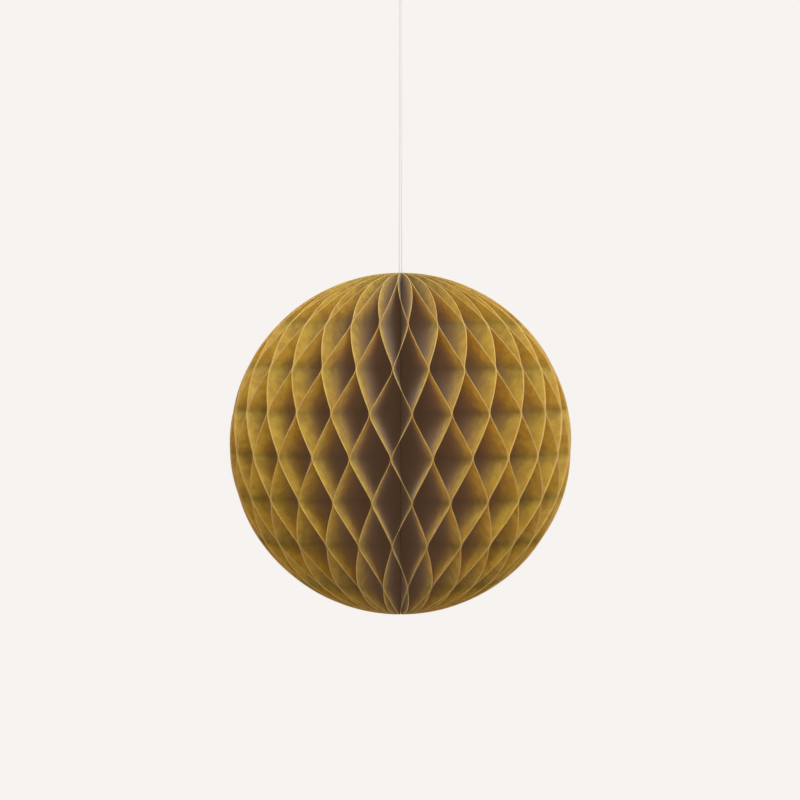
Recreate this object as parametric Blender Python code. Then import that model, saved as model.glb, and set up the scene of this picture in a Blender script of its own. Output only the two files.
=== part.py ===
"""Paper honeycomb ball that hangs on a doubled thread.

A pad of half-disc tissue leaves is bound along its straight edge, the spine, between two
half-disc cover boards. Each leaf is glued to the next along short horizontal rows, and the rows
of one leaf face lie midway between those of the other. Opened like a book through a whole turn,
the boards meet back to back and the glue rows pull the leaves into a ball of diamond cells.

Units are metres and +Z is up. The origin is inside the top of the hanging loop. The boards'
seam is at the back, +Y, and the fan angle of a leaf grows anticlockwise from it, seen from above.
"""

import math

import bpy
from mathutils import Vector

# Driving dimensions
BALL_RADIUS = 0.1016
LEAF_COUNT = 52
LEAF_THICKNESS = 0.00012
GLUE_ROW_PITCH = 0.0259
GLUE_ROW_WIDTH = 0.0035
TOP_GLUE_ROW_BELOW_POLE = 0.0030
CLEARANCE = 0.0003
BOARD_THICKNESS = 0.0005
BOARD_INSET_FROM_RIM = 0.0004
BOARD_SETBACK_FROM_AXIS = 0.0120
TAPE_THICKNESS = 0.0001
TAPE_WIDTH = 0.0080
TAPE_LENGTH = 0.0400
TAPE_INSET_FROM_RIM = 0.0030
THREAD_RADIUS = 0.00035
BINDING_THREAD_RADIUS = 0.0003
BINDING_END_INSET = 0.0100
KNOT_RADIUS = 0.0019
KNOT_HEIGHT = 0.0034
KNOT_BELOW_POLE = 0.0016
SPINE_BELOW_KNOT = 0.0014
SPINE_END_INSET = 0.0015
LOOP_KNOT_HEIGHT = 0.0026
LOOP_KNOT_WALL = 0.0009
LOOP_KNOT_BELOW_ORIGIN = 0.0152
STRING_DROP = 0.1815

# The hanging thread's left half, from the ball's pole up to the top of the loop. The right half
# mirrors it. Heights are above the origin.
STRING_ROUTE = [
    (-0.00066, 0.0, -0.18280),
    (-0.00066, 0.0, -0.17500),
    (-0.00066, 0.0, -0.16600),
    (-0.00064, 0.0, -0.15600),
    (-0.00060, 0.0, -0.14200),
    (-0.00055, 0.0, -0.12600),
    (-0.00052, 0.0, -0.10800),
    (-0.00050, 0.0, -0.09000),
    (-0.00050, 0.0, -0.07200),
    (-0.00050, 0.0, -0.05400),
    (-0.00050, 0.0, -0.03800),
    (-0.00050, 0.0, -0.02600),
    (-0.00050, 0.0, -0.01900),
    (-0.00060, 0.0, -0.01350),
    (-0.00190, 0.0, -0.00930),
    (-0.00330, 0.0, -0.00560),
    (-0.00330, 0.0, -0.00210),
    (-0.00190, 0.0, -0.00020),
    (0.0, 0.0, 0.00035),
]
STRING_SPACING = 0.0060
LOOP_SPACING = 0.0012
LOOP_TOP_STRETCH = 0.0150

# Fineness of the round outlines
LEAF_ARC_STEP = math.radians(9.5)
BOARD_ARC_SEGMENTS = 40
ROUND_SEGMENTS = 20

# What follows from the driving dimensions
LEAF_HALF_ANGLE = math.pi / LEAF_COUNT
PAPER_HALF_STEP = (CLEARANCE + LEAF_THICKNESS) / 2
LEAF_INNER_RADIUS = 1.08 * PAPER_HALF_STEP / math.sin(LEAF_HALF_ANGLE)
LEAF_TIP_WIDTH = 2 * CLEARANCE
SPINE_RADIUS = LEAF_INNER_RADIUS - CLEARANCE
TOP_GLUE_ROW = BALL_RADIUS - TOP_GLUE_ROW_BELOW_POLE
SEAM_HALF_GAP = TAPE_THICKNESS / 2 + CLEARANCE
BOARD_LEAF_FACE = SEAM_HALF_GAP + BOARD_THICKNESS
BOARD_RADIUS = BALL_RADIUS - BOARD_INSET_FROM_RIM
BOARD_TO_LEAF = BOARD_LEAF_FACE + CLEARANCE + LEAF_THICKNESS / 2
BALL_CENTRE = Vector((0.0, 0.0, -STRING_DROP - BALL_RADIUS))
KNOT_CENTRE = BALL_RADIUS - KNOT_BELOW_POLE - KNOT_HEIGHT / 2
SPINE_TOP = KNOT_CENTRE - KNOT_HEIGHT / 2 - SPINE_BELOW_KNOT
SPINE_BOTTOM = SPINE_END_INSET - BALL_RADIUS
SEAM_DIRECTION = math.radians(90)


def clear_scene():
    for old in list(bpy.data.objects):
        bpy.data.objects.remove(old, do_unlink=True)


def material(name, colour, roughness, metallic=0.0):
    made = bpy.data.materials.new(name)
    made.use_nodes = True
    shader = made.node_tree.nodes["Principled BSDF"]
    shader.inputs["Base Color"].default_value = (*colour, 1.0)
    shader.inputs["Roughness"].default_value = roughness
    shader.inputs["Metallic"].default_value = metallic
    return made


def add_object(name, data, look, turn=0.0, place=BALL_CENTRE):
    """Add data as an object whose own origin is on the ball's axis, turned about that axis."""
    made = bpy.data.objects.new(name, data)
    made.location = place
    made.rotation_euler = (0.0, 0.0, turn)
    data.materials.clear()
    data.materials.append(look)
    bpy.context.scene.collection.objects.link(made)
    return made


def mesh_from(name, points, faces):
    mesh = bpy.data.meshes.new(name)
    mesh.from_pydata(points, [], faces)
    mesh.validate()
    return mesh


def turned(name, profile, segments=ROUND_SEGMENTS):
    """A solid turned about Z. The profile is (radius, height), from its foot to its top."""
    points, faces = [], []
    for radius, height in profile:
        for step in range(segments):
            angle = 2 * math.pi * step / segments
            points.append((radius * math.cos(angle), radius * math.sin(angle), height))
    for ring in range(len(profile) - 1):
        low, high = ring * segments, (ring + 1) * segments
        for step in range(segments):
            after = (step + 1) % segments
            faces.append((low + step, low + after, high + after, high + step))
    faces.append(tuple(reversed(range(segments))))
    faces.append(tuple(range(len(points) - segments, len(points))))
    return mesh_from(name, points, faces)


def turned_ring(name, inner, outer, low, high, segments=ROUND_SEGMENTS):
    """A closed ring about Z with a wall from inner to outer and a softened outer edge."""
    soft = (outer - inner) / 3
    section = [
        (inner, low),
        (outer - soft, low),
        (outer, low + soft),
        (outer, high - soft),
        (outer - soft, high),
        (inner, high),
    ]
    points, faces = [], []
    for radius, height in section:
        for step in range(segments):
            angle = 2 * math.pi * step / segments
            points.append((radius * math.cos(angle), radius * math.sin(angle), height))
    for side in range(len(section)):
        here, beyond = side * segments, (side + 1) % len(section) * segments
        for step in range(segments):
            after = (step + 1) % segments
            faces.append((here + step, here + after, beyond + after, beyond + step))
    return mesh_from(name, points, faces)


def plate(name, outline, near, far):
    """A flat plate with its outline in the local XZ plane, between two distances along Y."""
    count = len(outline)
    points = [(across, near, height) for across, height in outline]
    points += [(across, far, height) for across, height in outline]
    faces = [tuple(range(count)), tuple(reversed(range(count, 2 * count)))]
    for corner in range(count):
        after = (corner + 1) % count
        faces.append((after, corner, corner + count, after + count))
    return mesh_from(name, points, faces)


def smooth_route(points, spacing_at):
    """Points along a Catmull-Rom curve through the route, about spacing_at(height) apart."""
    knots = [Vector(p) for p in points]
    ends = [2 * knots[0] - knots[1], *knots, 2 * knots[-1] - knots[-2]]
    line = []
    for before, here, there, beyond in zip(ends, ends[1:], ends[2:], ends[3:]):
        steps = max(1, round((there - here).length / spacing_at((here.z + there.z) / 2)))
        for step in range(steps):
            t = step / steps
            line.append(
                0.5
                * (
                    2 * here
                    + (there - before) * t
                    + (2 * before - 5 * here + 4 * there - beyond) * t**2
                    + (3 * here - before - 3 * there + beyond) * t**3
                )
            )
    line.append(knots[-1])
    return line


def tube(name, line, radius):
    curve = bpy.data.curves.new(name, "CURVE")
    curve.dimensions = "3D"
    curve.bevel_depth = radius
    curve.bevel_resolution = 2
    curve.use_fill_caps = True
    spline = curve.splines.new("POLY")
    spline.points.add(len(line) - 1)
    for point, place in zip(spline.points, line):
        point.co = (*place, 1.0)
    return curve


# Leaves


def zigzag(height):
    """How far a leaf has swung towards its next leaf at a height: 1 at its own glue rows, -1 at
    the rows midway between them, flat for a glue row's width and straight between rows."""
    rows_down = (TOP_GLUE_ROW - height) / GLUE_ROW_PITCH
    row = math.floor(rows_down + 0.5)
    flat = GLUE_ROW_WIDTH / 2 / GLUE_ROW_PITCH
    away = max(0.0, (abs(rows_down - row) - flat) / (0.5 - flat))
    return (1 - away) * (1 if row % 2 == 0 else -1)


def leaf_heights():
    """Heights of a leaf's cross-sections: the edges of the glue rows, the middles between rows,
    and enough others to keep its rim round."""
    end = math.sqrt(BALL_RADIUS**2 - (LEAF_INNER_RADIUS + LEAF_TIP_WIDTH) ** 2)
    breaks = [end, -end]
    row = TOP_GLUE_ROW
    while row > -BALL_RADIUS - GLUE_ROW_PITCH:
        breaks += [row + GLUE_ROW_WIDTH / 2, row - GLUE_ROW_WIDTH / 2, row - GLUE_ROW_PITCH / 2]
        row -= GLUE_ROW_PITCH
    breaks = sorted(height for height in breaks if abs(height) <= end)
    angles = [math.acos(height / BALL_RADIUS) for height in breaks]
    heights = []
    for low, high in zip(angles, angles[1:]):
        steps = math.ceil((low - high) / LEAF_ARC_STEP)
        for step in range(steps):
            heights.append(BALL_RADIUS * math.cos(low + (high - low) * step / steps))
    return heights + [end]


def to_next_leaf(reach):
    """Sideways offset, at a distance from the axis, of a leaf that lies along the next leaf."""
    return reach * math.tan(LEAF_HALF_ANGLE) - PAPER_HALF_STEP / math.cos(LEAF_HALF_ANGLE)


def to_board(reach):
    """The same for an end leaf that lies along its cover board and bends round its straight edge."""
    bend = BOARD_SETBACK_FROM_AXIS - CLEARANCE
    share = min(1.0, (reach - LEAF_INNER_RADIUS) / (bend - LEAF_INNER_RADIUS))
    stand_off = PAPER_HALF_STEP + (BOARD_TO_LEAF - PAPER_HALF_STEP) * share
    return reach * math.tan(LEAF_HALF_ANGLE) - stand_off / math.cos(LEAF_HALF_ANGLE)


def leaf_section(height, direction, plus_side, minus_side):
    """(reach, sideways) of the spine edge, a middle line and the rim at one height. The middle
    line of an end leaf is its bend round the straight edge of the cover board."""
    swing = zigzag(height) * direction

    def sideways(reach):
        return plus_side(reach) * (1 + swing) / 2 - minus_side(reach) * (1 - swing) / 2

    flat_rim = math.sqrt(BALL_RADIUS**2 - height**2)
    rim = math.sqrt(BALL_RADIUS**2 - height**2 - sideways(flat_rim) ** 2)
    middle = (LEAF_INNER_RADIUS + rim) / 2
    bend = BOARD_SETBACK_FROM_AXIS - CLEARANCE
    if to_board in (plus_side, minus_side) and rim > bend + CLEARANCE:
        middle = bend
    return [(reach, sideways(reach)) for reach in (LEAF_INNER_RADIUS, middle, rim)]


def leaf_mesh(name, direction, plus_side=to_next_leaf, minus_side=to_next_leaf):
    """One sheet in the local XZ half plane, zigzagging along Y, as a closed thin solid. Both faces
    of a twisted panel are split along the same diagonal, the one that lies away from the glue
    rows, so that the sheet keeps its thickness and clears its neighbours."""
    points, faces = [], []
    heights = leaf_heights()
    for height in heights:
        section = leaf_section(height, direction, plus_side, minus_side)
        for side in (-LEAF_THICKNESS / 2, LEAF_THICKNESS / 2):
            points += [(reach, sideways + side, height) for reach, sideways in section]
    for level in range(len(heights) - 1):
        low, high = level * 6, level * 6 + 6
        rising = abs(zigzag(heights[level])) < abs(zigzag(heights[level + 1]))
        for near in (0, 1):
            corners = [low + near, low + near + 1, high + near + 1, high + near]
            if rising:
                corners = corners[1:] + corners[:1]
            first, second, third, fourth = corners
            faces += [(first, second, third), (first, third, fourth)]
            first, second, third, fourth = (corner + 3 for corner in corners)
            faces += [(first, third, second), (first, fourth, third)]
        faces.append((low, high, high + 3, low + 3))
        faces.append((low + 5, high + 5, high + 2, low + 2))
    top = len(points) - 6
    for near in (0, 1):
        faces.append((near, near + 3, near + 4, near + 1))
        faces.append((top + near + 1, top + near + 4, top + near + 3, top + near))
    return mesh_from(name, points, faces)


def add_leaves(look):
    """Leaf n leans on leaf n + 1 at the rows where leaf n + 1 leans back on it."""
    towards_next = leaf_mesh("leaf_towards_next", 1)
    towards_last = leaf_mesh("leaf_towards_last", -1)
    first = leaf_mesh("leaf_on_fixed_board", 1, minus_side=to_board)
    last = leaf_mesh("leaf_on_moving_board", 1 if LEAF_COUNT % 2 else -1, plus_side=to_board)
    for number in range(1, LEAF_COUNT + 1):
        mesh = towards_next if number % 2 else towards_last
        if number == 1:
            mesh = first
        if number == LEAF_COUNT:
            mesh = last
        turn = SEAM_DIRECTION + (2 * number - 1) * LEAF_HALF_ANGLE
        add_object(f"leaf_{number:02d}", mesh, look, turn)


# Cover boards, tape and spine


def board_outline():
    """Half disc set back from the axis, rim first and straight edge last."""
    half = math.acos(BOARD_SETBACK_FROM_AXIS / BOARD_RADIUS)
    outline = []
    for step in range(BOARD_ARC_SEGMENTS + 1):
        angle = half * (2 * step / BOARD_ARC_SEGMENTS - 1)
        outline.append((BOARD_RADIUS * math.cos(angle), BOARD_RADIUS * math.sin(angle)))
    return outline


def add_boards(look):
    outline = board_outline()
    fixed = plate("cover_board_fixed", outline, SEAM_HALF_GAP, BOARD_LEAF_FACE)
    moving = plate("cover_board_moving", outline, -BOARD_LEAF_FACE, -SEAM_HALF_GAP)
    add_object("cover_board_fixed", fixed, look, SEAM_DIRECTION)
    add_object("cover_board_moving", moving, look, SEAM_DIRECTION)


def tape_outline():
    """A strip with clipped corners that lies near the boards' rim, half way up."""
    outer = math.sqrt(BOARD_RADIUS**2 - (TAPE_LENGTH / 2) ** 2) - TAPE_INSET_FROM_RIM
    inner, clip, half = outer - TAPE_WIDTH, TAPE_WIDTH / 6, TAPE_LENGTH / 2
    return [
        (inner + clip, -half),
        (outer - clip, -half),
        (outer, clip - half),
        (outer, half - clip),
        (outer - clip, half),
        (inner + clip, half),
        (inner, half - clip),
        (inner, clip - half),
    ]


def add_tape(look):
    """The strip of double-sided tape that holds the boards back to back."""
    strip = plate("closing_tape", tape_outline(), -TAPE_THICKNESS / 2, TAPE_THICKNESS / 2)
    add_object("closing_tape", strip, look, SEAM_DIRECTION)


def add_spine(look):
    """The bundle of bound straight edges that the leaves fan out from."""
    soft = SPINE_RADIUS / 4
    profile = [
        (SPINE_RADIUS - soft, SPINE_BOTTOM),
        (SPINE_RADIUS, SPINE_BOTTOM + soft),
        (SPINE_RADIUS, SPINE_TOP - soft),
        (SPINE_RADIUS - soft, SPINE_TOP),
    ]
    add_object("spine_core", turned("spine_core", profile), look)


def add_binding_thread(look):
    """The thread that binds the pad, along the boards' straight edges."""
    away = BOARD_SETBACK_FROM_AXIS - BINDING_THREAD_RADIUS - 3 * CLEARANCE
    top = SPINE_TOP - BINDING_END_INSET
    bottom = SPINE_BOTTOM + BINDING_END_INSET
    line = [Vector((0.0, away, top)), Vector((0.0, away, bottom))]
    add_object("binding_thread", tube("binding_thread", line, BINDING_THREAD_RADIUS), look)


# Hanging string


def add_string(look):
    """One doubled thread: up from the ball, over the hook in a loop, and down again."""

    def spacing_at(height):
        return LOOP_SPACING if height > -LOOP_TOP_STRETCH else STRING_SPACING

    pole = -STRING_DROP - KNOT_BELOW_POLE + CLEARANCE
    left = [(STRING_ROUTE[0][0], 0.0, pole)]
    left += [point for point in STRING_ROUTE[1:] if point[2] > pole + STRING_SPACING]
    right = [(-x, y, z) for x, y, z in reversed(left[:-1])]
    line = smooth_route(left + right, spacing_at)
    add_object("hanging_string", tube("hanging_string", line, THREAD_RADIUS), look, place=Vector())


def add_loop_knot(look):
    """The knot that closes the loop, round both strands."""
    strand = max(abs(x) for x, _, z in STRING_ROUTE if -0.03 < z < -LOOP_KNOT_BELOW_ORIGIN)
    inner = strand + THREAD_RADIUS + CLEARANCE
    half = LOOP_KNOT_HEIGHT / 2
    ring = turned_ring("loop_knot", inner, inner + LOOP_KNOT_WALL, -half, half)
    place = Vector((0.0, 0.0, -LOOP_KNOT_BELOW_ORIGIN - half))
    add_object("loop_knot", ring, look, place=place)


def add_string_knot(look):
    """The knot that keeps the thread in the top of the spine."""
    rings, profile = 8, []
    for step in range(rings + 1):
        angle = math.pi * (step / rings - 0.5)
        radius = max(KNOT_RADIUS * math.cos(angle), KNOT_RADIUS / 5)
        profile.append((radius, KNOT_HEIGHT / 2 * math.sin(angle)))
    place = BALL_CENTRE + Vector((0.0, 0.0, KNOT_CENTRE))
    add_object("string_knot", turned("string_knot", profile), look, place=place)


def build():
    clear_scene()
    tissue = material("gold_tissue", (0.42, 0.25, 0.035), 0.62)
    greyboard = material("greyboard", (0.42, 0.36, 0.28), 0.9)
    tape = material("clear_tape", (0.85, 0.83, 0.76), 0.35)
    glued_paper = material("glued_paper", (0.30, 0.18, 0.04), 0.7)
    thread = material("white_thread", (0.80, 0.77, 0.72), 0.8)
    add_leaves(tissue)
    add_boards(greyboard)
    add_tape(tape)
    add_spine(glued_paper)
    add_binding_thread(thread)
    add_string(thread)
    add_loop_knot(thread)
    add_string_knot(thread)


build()
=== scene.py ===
# %% [markdown]
# # A honeycomb ball of gold tissue
# A honeycomb ball is a stack of half-disc tissue leaves, glued to each other along short straight
# rows. When the stack is opened all the way round, every leaf is pulled into a zigzag between its
# two neighbours, and the spaces between the leaves become a net of lozenge-shaped cells. This
# lesson lays the paper, the cover boards, the tape and the hanging thread over the solid model.

import math

import bpy
import numpy as np
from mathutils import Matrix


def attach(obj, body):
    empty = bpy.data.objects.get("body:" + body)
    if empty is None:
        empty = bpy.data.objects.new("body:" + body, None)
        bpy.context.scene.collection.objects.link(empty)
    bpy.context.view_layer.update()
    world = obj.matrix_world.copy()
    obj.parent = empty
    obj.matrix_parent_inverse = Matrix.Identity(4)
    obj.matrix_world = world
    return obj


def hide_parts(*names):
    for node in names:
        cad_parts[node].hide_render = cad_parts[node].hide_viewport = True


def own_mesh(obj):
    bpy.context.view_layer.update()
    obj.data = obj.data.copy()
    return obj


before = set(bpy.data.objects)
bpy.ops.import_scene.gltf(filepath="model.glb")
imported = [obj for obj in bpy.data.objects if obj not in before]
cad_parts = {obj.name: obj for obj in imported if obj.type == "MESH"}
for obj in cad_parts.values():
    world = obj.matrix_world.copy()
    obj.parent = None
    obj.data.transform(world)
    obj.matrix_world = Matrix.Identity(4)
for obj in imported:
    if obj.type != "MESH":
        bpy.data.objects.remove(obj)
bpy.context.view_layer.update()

# %% [markdown]
# The sizes come first, in metres, because every surface below is worked out from them. A leaf fills
# one wedge of the ball, as wide as a full turn divided by the number of leaves. The glue rows are
# an even pitch apart. A leaf sticks to the next leaf on its own rows and to the last leaf half way
# between them.

# %% Sizes of the ball
BALL_RADIUS = 0.1016
LEAF_COUNT = 52
WEDGE_HALF = math.pi / LEAF_COUNT
ROW_PITCH = 0.0259
ROW_WIDTH = 0.0032
TOP_ROW = BALL_RADIUS - 0.0030
STRING_DROP = 0.1815
CENTRE = np.array([0.0, 0.0, -STRING_DROP - BALL_RADIUS])
SEAM_ANGLE = math.radians(90)
SEAM_HALF_GAP = 0.00035
BOARD_THICKNESS = 0.0005
BOARD_SETBACK = 0.0120
print(f"ball {2000 * BALL_RADIUS:.1f} mm across, {math.degrees(2 * WEDGE_HALF):.2f} degrees a leaf")

# %% [markdown]
# The camera stands at the height of the ball, a little to the left, and far away, so that the
# ball's outline is nearly as wide as the ball. A long lens from far away keeps the cells at the
# edges from looking stretched.

# %% Camera
CAMERA_DISTANCE = 3.5
CAMERA_AZIMUTH = math.radians(-3.8)
CAMERA_ELEVATION = math.radians(2.0)
VIEW_WIDTH = 0.4756
AIM_FROM_CENTRE = np.array([-0.00036, 0.0, 0.0259])
FAR_CLIP = 20.0


def camera_place(aim, azimuth, elevation, distance):
    """The aim point plus the distance along the direction that the two angles give."""
    away = np.array(
        [
            math.sin(azimuth) * math.cos(elevation),
            -math.cos(azimuth) * math.cos(elevation),
            math.sin(elevation),
        ]
    )
    return aim + distance * away


aim = CENTRE + AIM_FROM_CENTRE
camera_data = bpy.data.cameras.new("camera")
camera_data.lens = camera_data.sensor_width * CAMERA_DISTANCE / VIEW_WIDTH
camera_data.clip_end = FAR_CLIP
camera = bpy.data.objects.new("camera", camera_data)
camera.location = camera_place(aim, CAMERA_AZIMUTH, CAMERA_ELEVATION, CAMERA_DISTANCE)
camera.rotation_euler = (math.pi / 2 - CAMERA_ELEVATION, 0.0, CAMERA_AZIMUTH)
bpy.context.scene.collection.objects.link(camera)
bpy.context.scene.camera = camera
print(f"lens {camera_data.lens:.0f} mm from {CAMERA_DISTANCE} m")

# %% [markdown]
# Two small helpers make every new piece. One turns arrays of points and faces into an object. The
# other wraps a grid of points into faces: a grid may be closed round in either direction, as a
# tube's is.

# %% Helpers for meshes


def add_piece(name, points, faces, smooth=True):
    """One object at the origin whose place is in its mesh."""
    mesh = bpy.data.meshes.new(name)
    mesh.from_pydata(points.tolist(), [], [tuple(face) for face in faces])
    mesh.polygons.foreach_set("use_smooth", np.full(len(mesh.polygons), smooth))
    mesh.update()
    piece = bpy.data.objects.new(name, mesh)
    bpy.context.scene.collection.objects.link(piece)
    return piece


def grid_faces(rows, columns, closed_columns=False, closed_rows=False):
    """Quads between neighbouring points of a grid that is numbered row by row."""
    number = np.arange(rows * columns).reshape(rows, columns)
    if closed_columns:
        number = np.concatenate([number, number[:, :1]], axis=1)
    if closed_rows:
        number = np.concatenate([number, number[:1]], axis=0)
    corners = (number[:-1, :-1], number[:-1, 1:], number[1:, 1:], number[1:, :-1])
    return np.stack([corner.ravel() for corner in corners], axis=1)


def store(piece, name, values):
    """A named value on every point, for the materials to read."""
    attribute = piece.data.attributes.new(name, "FLOAT", "POINT")
    attribute.data.foreach_set("value", np.asarray(values, np.float32).ravel())


print("helpers ready")

# %% [markdown]
# The thread is one length, doubled: it leaves the ball, goes up, makes the loop that goes over a
# hook, and comes down again. Its route is a smooth curve through a few points, the same that the
# solid model uses. Catmull-Rom is the simplest curve that passes through all its points.

# %% Route of the thread
THREAD_DIAMETER = 0.0007
THREAD_STEP = 0.0003
POLE = -STRING_DROP - 0.0013
LEFT_STRAND = np.array(
    [
        (-0.00066, 0.0, POLE),
        (-0.00066, 0.0, -0.17500),
        (-0.00066, 0.0, -0.16600),
        (-0.00064, 0.0, -0.15600),
        (-0.00060, 0.0, -0.14200),
        (-0.00055, 0.0, -0.12600),
        (-0.00052, 0.0, -0.10800),
        (-0.00050, 0.0, -0.09000),
        (-0.00050, 0.0, -0.07200),
        (-0.00050, 0.0, -0.05400),
        (-0.00050, 0.0, -0.03800),
        (-0.00050, 0.0, -0.02600),
        (-0.00050, 0.0, -0.01900),
        (-0.00060, 0.0, -0.01350),
        (-0.00190, 0.0, -0.00930),
        (-0.00330, 0.0, -0.00560),
        (-0.00330, 0.0, -0.00210),
        (-0.00190, 0.0, -0.00020),
        (0.0, 0.0, 0.00035),
    ]
)


def catmull_rom(points, steps):
    """On each span, the cubic that leaves along half the chord between the neighbours."""
    ends = np.concatenate([[2 * points[0] - points[1]], points, [2 * points[-1] - points[-2]]])
    before, start, end, after = ends[:-3], ends[1:-2], ends[2:-1], ends[3:]
    t = np.linspace(0, 1, steps, endpoint=False)[:, None, None]
    curve = (
        start
        + (end - before) * t / 2
        + (2 * before - 5 * start + 4 * end - after) * t**2 / 2
        + (3 * start - 3 * end + after - before) * t**3 / 2
    )
    return np.concatenate([curve.transpose(1, 0, 2).reshape(-1, 3), points[-1:]])


def even_steps(line, step):
    """The same line with points an even distance apart."""
    along = np.concatenate([[0], np.cumsum(np.linalg.norm(np.diff(line, axis=0), axis=1))])
    wanted = np.linspace(0, along[-1], max(2, round(along[-1] / step) + 1))
    return np.stack([np.interp(wanted, along, line[:, axis]) for axis in range(3)], axis=1)


right_strand = LEFT_STRAND[-2::-1] * np.array([-1.0, 1.0, 1.0])
thread_route = np.concatenate([LEFT_STRAND, right_strand])
thread_line = even_steps(catmull_rom(thread_route, 40), THREAD_STEP)
thread_length = np.linalg.norm(np.diff(thread_line, axis=0), axis=1).sum()
print(f"thread {1000 * thread_length:.1f} mm long, {len(thread_line)} points")

# %% [markdown]
# Sewing thread is two plies twisted round each other. A round tube would look like wire. Here the
# tube's section has two lobes, and the section turns as it goes along, which is what a twist is.
# The knots use the same thread on a closed path.

# %% Twisted thread
PLY_PITCH = 0.0021


def frames_along(line, closed=False):
    """Tangent, and two directions across it that turn as little as they can from step to step."""
    if closed:
        tangent = np.roll(line, -1, axis=0) - np.roll(line, 1, axis=0)
    else:
        tangent = np.gradient(line, axis=0)
    tangent /= np.linalg.norm(tangent, axis=1, keepdims=True)
    across = np.empty_like(tangent)
    seed = np.array([0.0, 1.0, 0.0])
    for i, direction in enumerate(tangent):
        seed = seed - direction * (seed @ direction)
        seed /= np.linalg.norm(seed)
        across[i] = seed
    return tangent, across, np.cross(tangent, across)


def twisted_thread(name, line, diameter, closed=False, sides=14):
    """A tube whose radius has two lobes, and whose lobes turn once in each ply pitch."""
    tangent, across, other = frames_along(line, closed)
    step = np.linalg.norm(np.diff(line, axis=0), axis=1)
    along = np.concatenate([[0], np.cumsum(step)])
    angle = np.linspace(0, 2 * math.pi, sides, endpoint=False)
    lobes = angle[None, :] - 2 * math.pi * along[:, None] / PLY_PITCH
    radius = diameter / 2 * (0.80 + 0.24 * np.abs(np.cos(lobes)))
    ring = across[:, None] * np.cos(angle)[:, None] + other[:, None] * np.sin(angle)[:, None]
    points = (line[:, None] + radius[..., None] * ring).reshape(-1, 3)
    faces = grid_faces(len(line), sides, closed_columns=True, closed_rows=closed).tolist()
    if not closed:
        faces.append(list(range(sides)))
        faces.append(list(range(len(points) - 1, len(points) - 1 - sides, -1)))
    piece = add_piece(name, points, [face[::-1] for face in faces])
    # The lobes' swing is kept so that the material can paint shade in the groove between the plies.
    store(piece, "ply", np.abs(np.cos(lobes)))
    return piece


thread = twisted_thread("doubled_thread", thread_line, THREAD_DIAMETER)
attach(thread, "string")
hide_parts("hanging_string")
print("thread faces:", len(thread.data.polygons))

# %% [markdown]
# Each knot is a trefoil, the path that an overhand knot takes: it goes three times through the
# middle while it goes twice round. One knot closes the loop below the hook, round both strands.
# The other sits at the pole of the ball, where the strands are tied off.

# %% Knots


def knot_line(centre, ring, swing, rise, points=420):
    """Twice round a ring, while the distance from its middle and the height swing three times."""
    t = np.linspace(0, 2 * math.pi, points, endpoint=False)
    out = ring + swing * np.cos(3 * t)
    round_twice = [out * np.cos(2 * t), out * np.sin(2 * t), rise * np.sin(3 * t)]
    return centre + np.stack(round_twice, axis=1)


LOOP_KNOT_CENTRE = np.array([0.0, 0.0, -0.0165])
POLE_KNOT_CENTRE = np.array([0.0, 0.0, -STRING_DROP - 0.0033])
loop_path = knot_line(LOOP_KNOT_CENTRE, ring=0.00155, swing=0.00030, rise=0.00080)
loop_knot = twisted_thread("knot_of_the_loop", loop_path, diameter=0.00060, closed=True)
pole_path = knot_line(POLE_KNOT_CENTRE, ring=0.00100, swing=0.00055, rise=0.00125)
pole_knot = twisted_thread("knot_at_the_pole", pole_path, diameter=0.00085, closed=True)
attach(loop_knot, "string")
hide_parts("loop_knot")
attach(pole_knot, "knot")
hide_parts("string_knot")
print("two knots on the thread")

# %% [markdown]
# Now the paper. Looked at from the rim, a leaf swings from the last leaf to the next one and back,
# and it lies flat for the width of each glue row. Paper can't fold to a sharp corner there without
# a crease, so the swing is a trapezium wave with rounded corners. Real gluing is never quite even,
# so every glued spot gets a small shift of its own, which both of its leaves share.

# %% How a leaf swings
SPOTS = 9
SHIFT_SPREAD = 0.055
LARGEST_SHIFT = 0.12 * WEDGE_HALF
CREASE_ROUNDING = 0.10
rng = np.random.default_rng(8)
spot_shift = rng.normal(0.0, SHIFT_SPREAD, (LEAF_COUNT + 1, SPOTS)) * WEDGE_HALF
spot_shift = np.clip(spot_shift, -LARGEST_SHIFT, LARGEST_SHIFT)
spot_shift[[0, LEAF_COUNT]] = 0.0


def rounded_ramp(t, rounding):
    """0 before 0, 1 after 1 and straight between, with a parabola over each corner."""
    low = np.clip(t + rounding, 0, 2 * rounding) ** 2 / (4 * rounding)
    high = np.clip(t - 1 + rounding, 0, 2 * rounding) ** 2 / (4 * rounding)
    return low + np.clip(t - rounding, 0, None) - high - np.clip(t - 1 - rounding, 0, None)


def leaf_swing(number, heights):
    """Tangent of the leaf's angle from its wedge's middle, and -1 to 1 for which side it is on."""
    spots = np.arange(SPOTS)
    own = (spots % 2 == 0) == (number % 2 == 1)
    shift = np.where(own, spot_shift[number, spots], spot_shift[number - 1, spots])
    angle = np.where(own, WEDGE_HALF, -WEDGE_HALF) + shift
    side = np.where(own, 1.0, -1.0)
    down = (TOP_ROW - heights) / ROW_PITCH
    spot = np.clip(np.floor(down).astype(int), -1, SPOTS - 2)
    glued = ROW_WIDTH / 2 / ROW_PITCH
    ramp = rounded_ramp((down - spot - glued) / (1 - 2 * glued), CREASE_ROUNDING)
    before, after = np.clip(spot, 0, None), spot + 1
    tangent = np.tan(angle[before]) * (1 - ramp) + np.tan(angle[after]) * ramp
    return tangent, side[before] * (1 - ramp) + side[after] * ramp


print("largest shift", f"{1000 * BALL_RADIUS * np.abs(spot_shift).max():.2f} mm at the rim")

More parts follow.
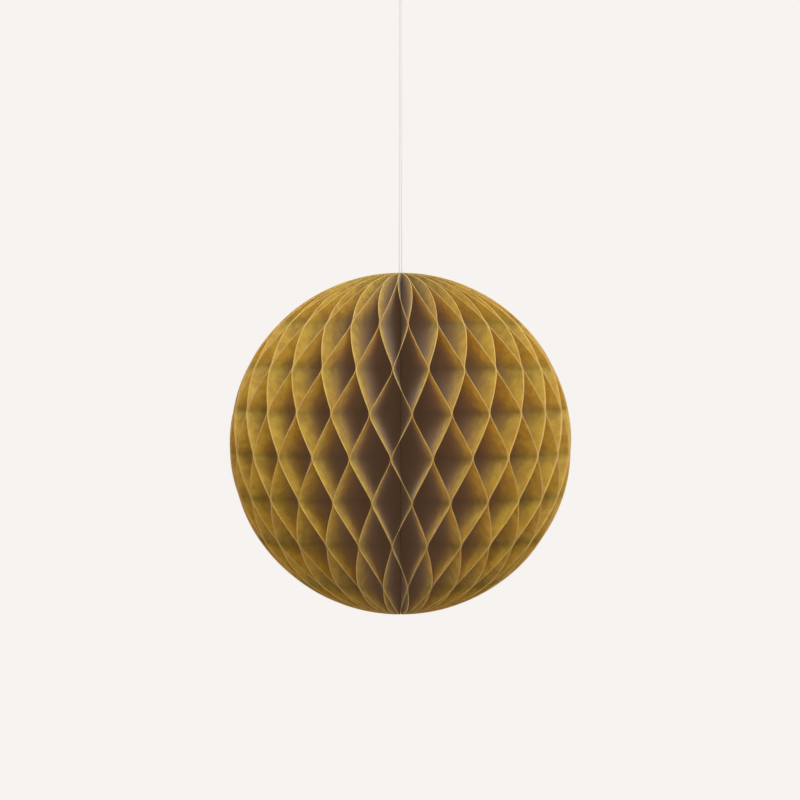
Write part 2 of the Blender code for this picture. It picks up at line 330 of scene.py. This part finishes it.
# %% [markdown]
# The leaf's other direction runs from the spine to the rim. The paper is thin, but it isn't a
# surface without thickness: it has two faces that meet in a cut edge, so that light stops at it.
# The cut edge of a pad is a little swollen and furry, so the thickness grows in the last
# millimetre. Near the spine the wedge is narrower than the paper, and everything tapers.

# %% Points of a leaf
REACH_CELLS = 22
PAPER_HALF = 0.00005
EDGE_HALF = 0.00013
LEAF_GAP = 0.00016
SPINE_EDGE = 0.0016
POLE_EDGE = 0.0026
POLE_RISE_FROM, POLE_RISE_TO = 0.0925, 0.0965
FURRY_WIDTH = 0.0008
BOARD_TO_PAPER = 0.00025
TO_BOARD = SEAM_HALF_GAP + BOARD_THICKNESS + BOARD_TO_PAPER


def leaf_heights():
    """Close together round every glued spot and near the poles, and wider between them."""
    near = np.array([0.0, 0.0009, 0.0016, 0.0022, 0.0029, 0.0037, 0.0047, 0.0060, 0.0080, 0.0103])
    offsets = np.concatenate([-near[:0:-1], near])
    spots = TOP_ROW - ROW_PITCH * np.arange(SPOTS)
    heights = (spots[:, None] + offsets[None, :]).ravel()
    middles = spots - ROW_PITCH / 2
    reach = np.linspace(POLE_EDGE + 0.0006, 0.030, 12)
    end = np.sqrt(BALL_RADIUS**2 - reach**2)
    heights = np.concatenate([heights, middles, end, -end])
    heights = np.unique(np.round(heights[np.abs(heights) <= end[0]], 6))
    keep = np.concatenate([[True], np.diff(heights) > 0.0])
    return heights[keep]


def soft_step(low, high, value):
    """0 below low, 1 above high, and smooth between."""
    t = np.clip((value - low) / (high - low), 0, 1)
    return t * t * (3 - 2 * t)


def leaf_grid(number, heights):
    """Reach from the axis, sideways, half thickness and distance from the rim, as four arrays.

    Each has a row for every height and a column for every step from the spine to the rim. Sideways
    is the reach times the swing's tangent, less the gap to the neighbour that the leaf is near.
    """
    tangent, side = leaf_swing(number, heights)
    share = np.linspace(0, 1, REACH_CELLS + 1)
    share = 1 - (1 - share) ** 1.35
    flat_rim = np.sqrt(BALL_RADIUS**2 - heights**2)
    rim = np.sqrt(BALL_RADIUS**2 - heights**2 - (flat_rim * tangent) ** 2)
    at_pole = soft_step(POLE_RISE_FROM, POLE_RISE_TO, np.abs(heights))
    spine = SPINE_EDGE + (POLE_EDGE - SPINE_EDGE) * at_pole
    reach = spine[:, None] + (rim - spine)[:, None] * share[None, :]
    room = reach * math.tan(WEDGE_HALF)
    gap = LEAF_GAP * (1 - np.exp(-room / LEAF_GAP))
    to_minus, to_plus = gap, gap
    at_board = np.clip((reach - SPINE_EDGE) / (BOARD_SETBACK - 0.0003 - SPINE_EDGE), 0, 1)
    if number == 1:
        to_minus = gap + (TO_BOARD - gap) * at_board
    if number == LEAF_COUNT:
        to_plus = gap + (TO_BOARD - gap) * at_board
    plus_share = (1 + side[:, None]) / 2
    sideways = reach * tangent[:, None] - to_plus * plus_share + to_minus * (1 - plus_share)
    from_rim = rim[:, None] - reach
    half = PAPER_HALF + (EDGE_HALF - PAPER_HALF) * np.exp(-((from_rim / FURRY_WIDTH) ** 2))
    return reach, sideways, np.minimum(half, 0.75 * gap), from_rim


heights = leaf_heights()
print("leaf grid", len(heights), "by", REACH_CELLS + 1)

# %% [markdown]
# One function builds all the leaves. The two faces of the paper are the same grid, moved half a
# thickness to each side and joined along their edges. The grid is worked out in the leaf's own
# wedge and then turned to its place round the ball. Three values are kept on every point for the
# material: how far it is from the rim, where the glue is, and the leaf's tone.

# %% Build the leaves


def turn_about_axis(points, angle):
    """Each point turned about the ball's upright axis."""
    c, s = math.cos(angle), math.sin(angle)
    return np.stack(
        [c * points[:, 0] - s * points[:, 1], s * points[:, 0] + c * points[:, 1], points[:, 2]],
        axis=1,
    )


def sheet_faces(rows, columns):
    """Both faces of a sheet and the strips that close its four edges."""
    front = grid_faces(rows, columns)
    back = front[:, ::-1] + rows * columns
    number = np.arange(rows * columns).reshape(rows, columns)
    loop = np.concatenate([number[0, :-1], number[:-1, -1], number[-1, :0:-1], number[:0:-1, 0]])
    following = np.roll(loop, -1)
    edge = np.stack([following, loop, loop + rows * columns, following + rows * columns], axis=1)
    return np.concatenate([front, back, edge])


def make_leaf(number):
    """Leaf number, counted anticlockwise from the seam, seen from above."""
    reach, sideways, half, from_rim = leaf_grid(number, heights)
    upright = np.repeat(heights[:, None], REACH_CELLS + 1, axis=1)
    faces = []
    for side in (-1, 1):
        grid = np.stack([reach, sideways + side * half, upright], axis=2)
        faces.append(grid.reshape(-1, 3))
    points = turn_about_axis(np.concatenate(faces), SEAM_ANGLE + (2 * number - 1) * WEDGE_HALF)
    leaf = add_piece(f"tissue_leaf_{number:02d}", points + CENTRE, sheet_faces(*reach.shape))
    rows_away = (TOP_ROW - upright) / ROW_PITCH
    glue = np.exp(-(((rows_away - np.round(rows_away)) * ROW_PITCH / (0.42 * ROW_WIDTH)) ** 4))
    store(leaf, "from_rim", np.tile(1000 * from_rim.ravel(), 2))
    store(leaf, "glue", np.tile(glue.ravel(), 2))
    store(leaf, "tone", np.full(2 * reach.size, rng.uniform(-1, 1)))
    return leaf


leaves = [make_leaf(number) for number in range(1, LEAF_COUNT + 1)]
for number, leaf in enumerate(leaves, 1):
    name = f"leaf_{number:02d}"
    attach(leaf, name)
    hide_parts(name)
print(len(leaves), "leaves of", len(leaves[0].data.polygons), "faces")

# %% [markdown]
# When the ball is closed to a flat pad, its leaves lie down on each other. Here each leaf is only
# given its own copy of its mesh.

# %% Each leaf gets a mesh of its own
for number, leaf in enumerate(leaves, 1):
    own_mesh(leaf)

# %% [markdown]
# The cover boards are half discs of grey board. A sawn or die-cut card edge is slightly rounded,
# so the outline is carried round a section with rounded corners. The straight edge stands back
# from the ball's axis, to leave room for the spine.

# %% Cover boards


def rounded_outline(radius, setback, steps=160):
    """The arc of a circle from one end of a straight edge to the other, then that edge."""
    half = math.acos(setback / radius)
    angle = np.linspace(-half, half, steps)
    arc = np.stack([radius * np.cos(angle), radius * np.sin(angle)], axis=1)
    rise = np.linspace(arc[-1, 1], arc[0, 1], 60)[1:-1]
    return np.concatenate([arc, np.stack([np.full_like(rise, setback), rise], axis=1)])


def card_plate(name, outline, low, high, soft):
    """An outline lofted through rings that step in at both faces, over a quarter circle."""
    middle = outline.mean(axis=0)
    forward = np.roll(outline, -1, axis=0) - np.roll(outline, 1, axis=0)
    inward = np.stack([-forward[:, 1], forward[:, 0]], axis=1)
    inward /= np.linalg.norm(inward, axis=1, keepdims=True)
    turn = np.linspace(0, math.pi / 2, 4)
    step_in = soft * np.concatenate([1 - np.sin(turn), 1 - np.sin(turn[::-1])])
    rise = np.concatenate([low + soft * (1 - np.cos(turn)), high - soft * (1 - np.cos(turn[::-1]))])
    rings = outline[None] + step_in[:, None, None] * inward[None]
    across = np.repeat(rise[:, None], len(outline), axis=1)
    points = np.stack([rings[..., 0], across, rings[..., 1]], axis=2).reshape(-1, 3)
    faces = grid_faces(len(rise), len(outline), closed_columns=True).tolist()
    hubs = np.array([[middle[0], low, middle[1]], [middle[0], high, middle[1]]])
    first, last = len(points), len(points) + 1
    top = len(points) - len(outline)
    here = np.arange(len(outline))
    there = np.roll(here, -1)
    faces += np.stack([there, here, np.full_like(here, first)], axis=1).tolist()
    faces += np.stack([top + here, top + there, np.full_like(here, last)], axis=1).tolist()
    return np.concatenate([points, hubs]), faces


BOARD_RADIUS = BALL_RADIUS - 0.0004
CARD_EDGE_ROUNDING = 0.00012
outline = rounded_outline(BOARD_RADIUS, BOARD_SETBACK)
outer_face = SEAM_HALF_GAP + BOARD_THICKNESS
boards = []
for name, low, high, body in (
    ("cover_board_fixed", SEAM_HALF_GAP, outer_face, "pad"),
    ("cover_board_moving", -outer_face, -SEAM_HALF_GAP, "cover"),
):
    points, faces = card_plate(name, outline, low, high, CARD_EDGE_ROUNDING)
    points = turn_about_axis(points, SEAM_ANGLE)
    board = add_piece(name.replace("cover_board", "grey_board"), points + CENTRE, faces, False)
    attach(board, body)
    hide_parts(name)
    boards.append(board)
print(len(boards), "boards", f"{1000 * BOARD_THICKNESS:.1f} mm thick")

# %% [markdown]
# The leaves meet in a spine, where the pad's edges are glued and pressed together. Its surface is
# the ends of all those sheets, so it has one flute for each leaf. A thread runs beside it, in the
# gap at the seam, and holds the boards to the pad.

# %% Spine and binding thread
SPINE_TOP = 0.0952
SPINE_BOTTOM = -0.1001
SPINE_RADIUS = 0.00142
FLUTE_DEPTH = 0.00014
BINDING_DIAMETER = 0.0006
BINDING_REACH = BOARD_SETBACK - 0.0012
BINDING_END_INSET = 0.010


def fluted_spine(name, radius, depth, flutes, low, high, rows=90):
    """Radius = the spine's, less a flute's depth for each leaf's wave, drawn in at both ends."""
    angle = np.linspace(0, 2 * math.pi, flutes * 6, endpoint=False)
    share = np.linspace(0, 1, rows)
    upright = low + (high - low) * (1 - np.cos(math.pi * share)) / 2
    ends = np.sqrt(np.clip(1 - (2 * share - 1) ** 40, 0.02, 1))
    sway = 0.00006 * np.sin(upright / 0.0031) + 0.00004 * np.sin(upright / 0.0013 + 1.0)
    wave = depth * (0.5 - 0.5 * np.cos(flutes * angle))
    out = (radius + sway[:, None] - wave[None, :]) * ends[:, None]
    rings = np.stack(
        [out * np.cos(angle), out * np.sin(angle), np.repeat(upright[:, None], len(angle), 1)], 2
    )
    faces = grid_faces(rows, len(angle), closed_columns=True).tolist()
    faces.append(list(range(len(angle) - 1, -1, -1)))
    faces.append(list(range((rows - 1) * len(angle), rows * len(angle))))
    return add_piece(name, rings.reshape(-1, 3) + CENTRE, faces)


spine = fluted_spine(
    "glued_spine", SPINE_RADIUS, FLUTE_DEPTH, LEAF_COUNT, SPINE_BOTTOM, SPINE_TOP
)
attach(spine, "pad")
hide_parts("spine_core")

upright = np.linspace(SPINE_BOTTOM + BINDING_END_INSET, SPINE_TOP - BINDING_END_INSET, 500)
wander = 0.00012 * np.sin(upright / 0.0045)
binding_line = np.stack([wander, np.full_like(upright, BINDING_REACH), upright], axis=1) + CENTRE
binding = twisted_thread("binding_stitches", binding_line, BINDING_DIAMETER)
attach(binding, "pad")
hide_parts("binding_thread")
print(f"spine {1000 * (SPINE_TOP - SPINE_BOTTOM):.1f} mm tall")

# %% [markdown]
# Finishes are made from nodes, so that they have no edges and no fixed resolution. A short helper
# adds a node, fills in its sockets and returns its output. A value may be a number, a colour or
# another node's output.

# %% Helpers for finishes


def new_finish(name, **fixed):
    """A material with its one shader, whose even values are set on the shader itself."""
    finish = bpy.data.materials.new(name)
    finish.use_nodes = True
    shader = finish.node_tree.nodes["Principled BSDF"]
    for socket, value in fixed.items():
        shader.inputs[socket.replace("_", " ").title().replace("Ior", "IOR")].default_value = value
    return finish, finish.node_tree, shader


def add_node(tree, kind, sockets=(), out=0, **settings):
    """One node: settings are its choices, and sockets pairs an input with a value or an output."""
    node = tree.nodes.new("ShaderNode" + kind)
    for setting, value in settings.items():
        setattr(node, setting, value)
    for socket, value in dict(sockets).items():
        if isinstance(value, bpy.types.NodeSocket):
            tree.links.new(value, node.inputs[socket])
        else:
            node.inputs[socket].default_value = value
    return node.outputs[out]


def attribute(tree, name):
    return add_node(tree, "Attribute", out=2, attribute_name=name)


def noise(tree, place, scale, detail=3.0, roughness=0.55):
    values = {"Vector": place, "Scale": scale, "Detail": detail, "Roughness": roughness}
    return add_node(tree, "TexNoise", values)


def span(tree, value, low, high, to_low=0.0, to_high=1.0):
    values = {"Value": value, "From Min": low, "From Max": high}
    values |= {"To Min": to_low, "To Max": to_high}
    return add_node(tree, "MapRange", values, interpolation_type="SMOOTHSTEP")


def blend_colour(tree, share, first, second, kind="MIX"):
    values = {0: share, 6: first, 7: second}
    return add_node(tree, "Mix", values, out=2, data_type="RGBA", blend_type=kind)


def maths(tree, kind, first, second=0.0, third=0.0):
    return add_node(tree, "Math", {0: first, 1: second, 2: third}, operation=kind)


def bump(tree, height, strength, distance):
    values = {"Height": height, "Strength": strength, "Distance": distance}
    return add_node(tree, "Bump", values)


print("finish helpers ready")

# %% [markdown]
# Gold tissue is dyed ochre paper with a dull, brassy face. Its dye takes unevenly, so it is mottled
# in patches a few millimetres across, with fine fibres in all directions. The cut rim is furry and
# paler, and its pale colour is also a painted highlight of light through the thin edge. The glue
# soaks through at its rows and leaves them a little darker. Far inside a cell the paper is in
# shade, painted as a darker brown, and it glows a little with light that has come through many
# sheets.
# Tracing that light through fifty walls would be slow and noisy, so a weak emission stands in for
# it.

# %% Gold tissue
PALE_RIM_AND_HIGHLIGHT = (0.53, 0.37, 0.115, 1)
GOLD_LIGHT = (0.50, 0.335, 0.050, 1)
GOLD_DARK = (0.38, 0.240, 0.038, 1)
# painted shade for the depths of the cells
PAINTED_DEPTH_SHADE = (0.22, 0.130, 0.060, 1)
SEEP_COLOUR = (0.80, 0.49, 0.28, 1)
NO_LIGHT = (0.0, 0.0, 0.0, 1)
GLUE_COLOUR = (0.80, 0.74, 0.66, 1)

tissue, tree, shader = new_finish(
    "gold_tissue",
    roughness=0.62,
    sheen_weight=0.15,
    sheen_roughness=0.5,
    specular_ior_level=0.3,
    subsurface_weight=1.0,
    subsurface_radius=(1.0, 0.78, 0.42),
    subsurface_scale=0.0006,
    emission_strength=0.048,
)
place = add_node(tree, "TexCoord", out=3)
patches = noise(tree, place, 160.0, 3.0)
fibres = noise(
    tree, add_node(tree, "Mapping", {"Vector": place, "Scale": (1.0, 1.0, 0.30)}), 1700.0, 4.0, 0.7
)
gold = blend_colour(tree, span(tree, patches, 0.34, 0.66), GOLD_DARK, GOLD_LIGHT)
from_rim = attribute(tree, "from_rim")
# Painted shade: the colour turns from gold to dark brown with distance from the rim, deep inside
# the cells.
painted_depth_shade = span(tree, from_rim, 4.0, 27.0)
body_colour = blend_colour(tree, painted_depth_shade, gold, PAINTED_DEPTH_SHADE)
glued = maths(tree, "MULTIPLY", attribute(tree, "glue"), 0.25)
body_colour = blend_colour(tree, glued, body_colour, GLUE_COLOUR, "MULTIPLY")
# The cut edge is paler: partly the furry edge's own colour, partly a painted highlight of light
# through the thin edge.
pale_edge_and_highlight = maths(tree, "MULTIPLY", span(tree, from_rim, 0.15, 1.3, 1.0, 0.0), 0.65)
body_colour = blend_colour(tree, pale_edge_and_highlight, body_colour, PALE_RIM_AND_HIGHLIGHT)
shade = span(tree, fibres, 0.3, 0.7, 0.90, 1.08)
shade = maths(tree, "MULTIPLY_ADD", attribute(tree, "tone"), 0.05, shade)
shaded = add_node(tree, "CombineXYZ", {0: shade, 1: shade, 2: shade})
tree.links.new(
    blend_colour(tree, 1.0, body_colour, shaded, "MULTIPLY"), shader.inputs["Base Color"]
)
crinkle = maths(tree, "MULTIPLY_ADD", noise(tree, place, 420.0, 2.0), 2.0, fibres)
tree.links.new(bump(tree, crinkle, 0.35, 0.00012), shader.inputs["Normal"])
glow = blend_colour(tree, span(tree, from_rim, 2.0, 26.0), NO_LIGHT, SEEP_COLOUR)
tree.links.new(glow, shader.inputs["Emission Color"])
for leaf in leaves:
    leaf.data.materials.append(tissue)
print("gold tissue on", len(leaves), "leaves")

# %% [markdown]
# Greyboard is pressed from waste paper: warm grey, flecked with darker and lighter fibres, and
# rough to the touch. The spine is the same tissue as the leaves, soaked with glue, so it is darker
# and a little shiny. Thread is bleached cotton, with painted shade in the groove between its plies.
# The tape is clear film, slightly hazy, so that the boards show through it.

# %% Board, spine, thread and tape
card, tree, shader = new_finish("greyboard", roughness=0.85, specular_ior_level=0.25)
place = add_node(tree, "TexCoord", out=3)
flecks = noise(tree, place, 900.0, 5.0, 0.7)
cloud = noise(tree, place, 90.0, 3.0)
grey = blend_colour(tree, cloud, (0.30, 0.27, 0.22, 1), (0.40, 0.37, 0.31, 1))
fleck = blend_colour(tree, span(tree, flecks, 0.56, 0.74), grey, (0.13, 0.115, 0.09, 1))
fleck = blend_colour(tree, span(tree, flecks, 0.42, 0.30), fleck, (0.60, 0.56, 0.48, 1))
tree.links.new(fleck, shader.inputs["Base Color"])
tree.links.new(bump(tree, flecks, 0.4, 0.00010), shader.inputs["Normal"])
for board in boards:
    board.data.materials.append(card)

glued_paper, tree, shader = new_finish("glued_paper", roughness=0.42, specular_ior_level=0.5)
place = add_node(tree, "TexCoord", out=3)
soak = noise(tree, place, 260.0, 4.0)
tree.links.new(
    blend_colour(tree, soak, (0.16, 0.09, 0.03, 1), (0.34, 0.21, 0.07, 1)),
    shader.inputs["Base Color"],
)
tree.links.new(bump(tree, soak, 0.3, 0.0001), shader.inputs["Normal"])
spine.data.materials.append(glued_paper)

cotton, tree, shader = new_finish(
    "white_thread", roughness=0.8, sheen_weight=0.3, sheen_roughness=0.4
)
place = add_node(tree, "TexCoord", out=3)
fuzz = noise(tree, place, 6000.0, 3.0, 0.7)
# Painted shade: the thread is darker in the groove between its two plies.
painted_groove_shade = span(tree, attribute(tree, "ply"), 0.0, 0.45)
white = blend_colour(tree, painted_groove_shade, (0.42, 0.40, 0.36, 1), (0.74, 0.72, 0.67, 1))
white = blend_colour(tree, maths(tree, "MULTIPLY", fuzz, 0.35), white, (0.55, 0.53, 0.48, 1))
tree.links.new(white, shader.inputs["Base Color"])
tree.links.new(bump(tree, fuzz, 0.5, 0.00005), shader.inputs["Normal"])
for piece in (thread, loop_knot, pole_knot, binding):
    piece.data.materials.append(cotton)

clear_tape, tree, shader = new_finish(
    "clear_tape", roughness=0.35, alpha=0.55, specular_ior_level=0.5
)
place = add_node(tree, "TexCoord", out=3)
haze = noise(tree, place, 320.0, 3.0)
tree.links.new(
    blend_colour(tree, haze, (0.62, 0.60, 0.54, 1), (0.78, 0.77, 0.72, 1)),
    shader.inputs["Base Color"],
)
tree.links.new(bump(tree, haze, 0.15, 0.0001), shader.inputs["Normal"])
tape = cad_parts["closing_tape"]
tape.data.materials.clear()
tape.data.materials.append(clear_tape)
print("five finishes made")

# %% [markdown]
# The ball hangs in a pale room. The room itself gives soft light from all round, and the floor, far
# below, gives back a little less. One large lamp high in front makes the top of the ball the
# brightest part, and a weaker one lifts its right side.

# %% Room, floor and lamps
ROOM_COLOUR = (0.930, 0.896, 0.871, 1)
world = bpy.data.worlds.new("pale_room")
world.use_nodes = True
world.node_tree.nodes["Background"].inputs["Color"].default_value = ROOM_COLOUR
world.node_tree.nodes["Background"].inputs["Strength"].default_value = 1.0
bpy.context.scene.world = world
bpy.context.scene.view_settings.view_transform = "Standard"

FLOOR_DROP = 1.15
FLOOR_RADIUS = 4.5
FLOOR_SIDES = 96
FLOOR_COLOUR = (0.46, 0.45, 0.44, 1)
turn = np.linspace(0, 2 * math.pi, FLOOR_SIDES, endpoint=False)
floor_edge = [FLOOR_RADIUS * np.cos(turn), FLOOR_RADIUS * np.sin(turn), -FLOOR_DROP + 0 * turn]
floor = add_piece("floor", np.stack(floor_edge, axis=1), [list(range(FLOOR_SIDES))], False)
floor_paint, tree, shader = new_finish("floor_paint", roughness=0.9)
shader.inputs["Base Color"].default_value = FLOOR_COLOUR
floor.data.materials.append(floor_paint)


def add_lamp(name, place, size, power):
    """A square area lamp that faces the middle of the ball."""
    lamp = bpy.data.lights.new(name, "AREA")
    lamp.shape = "SQUARE"
    lamp.size = size
    lamp.energy = power
    stand = bpy.data.objects.new(name, lamp)
    stand.location = place
    towards = np.array(place) - CENTRE
    flat = math.hypot(towards[0], towards[1])
    stand.rotation_euler = (math.atan2(flat, towards[2]), 0.0, math.atan2(towards[0], -towards[1]))
    bpy.context.scene.collection.objects.link(stand)


add_lamp("lamp_high_front", (0.30, -1.3, 1.10), size=0.8, power=19.0)
add_lamp("lamp_right", (1.6, -0.9, 0.1), size=0.8, power=5.0)
print("room, floor and two lamps")
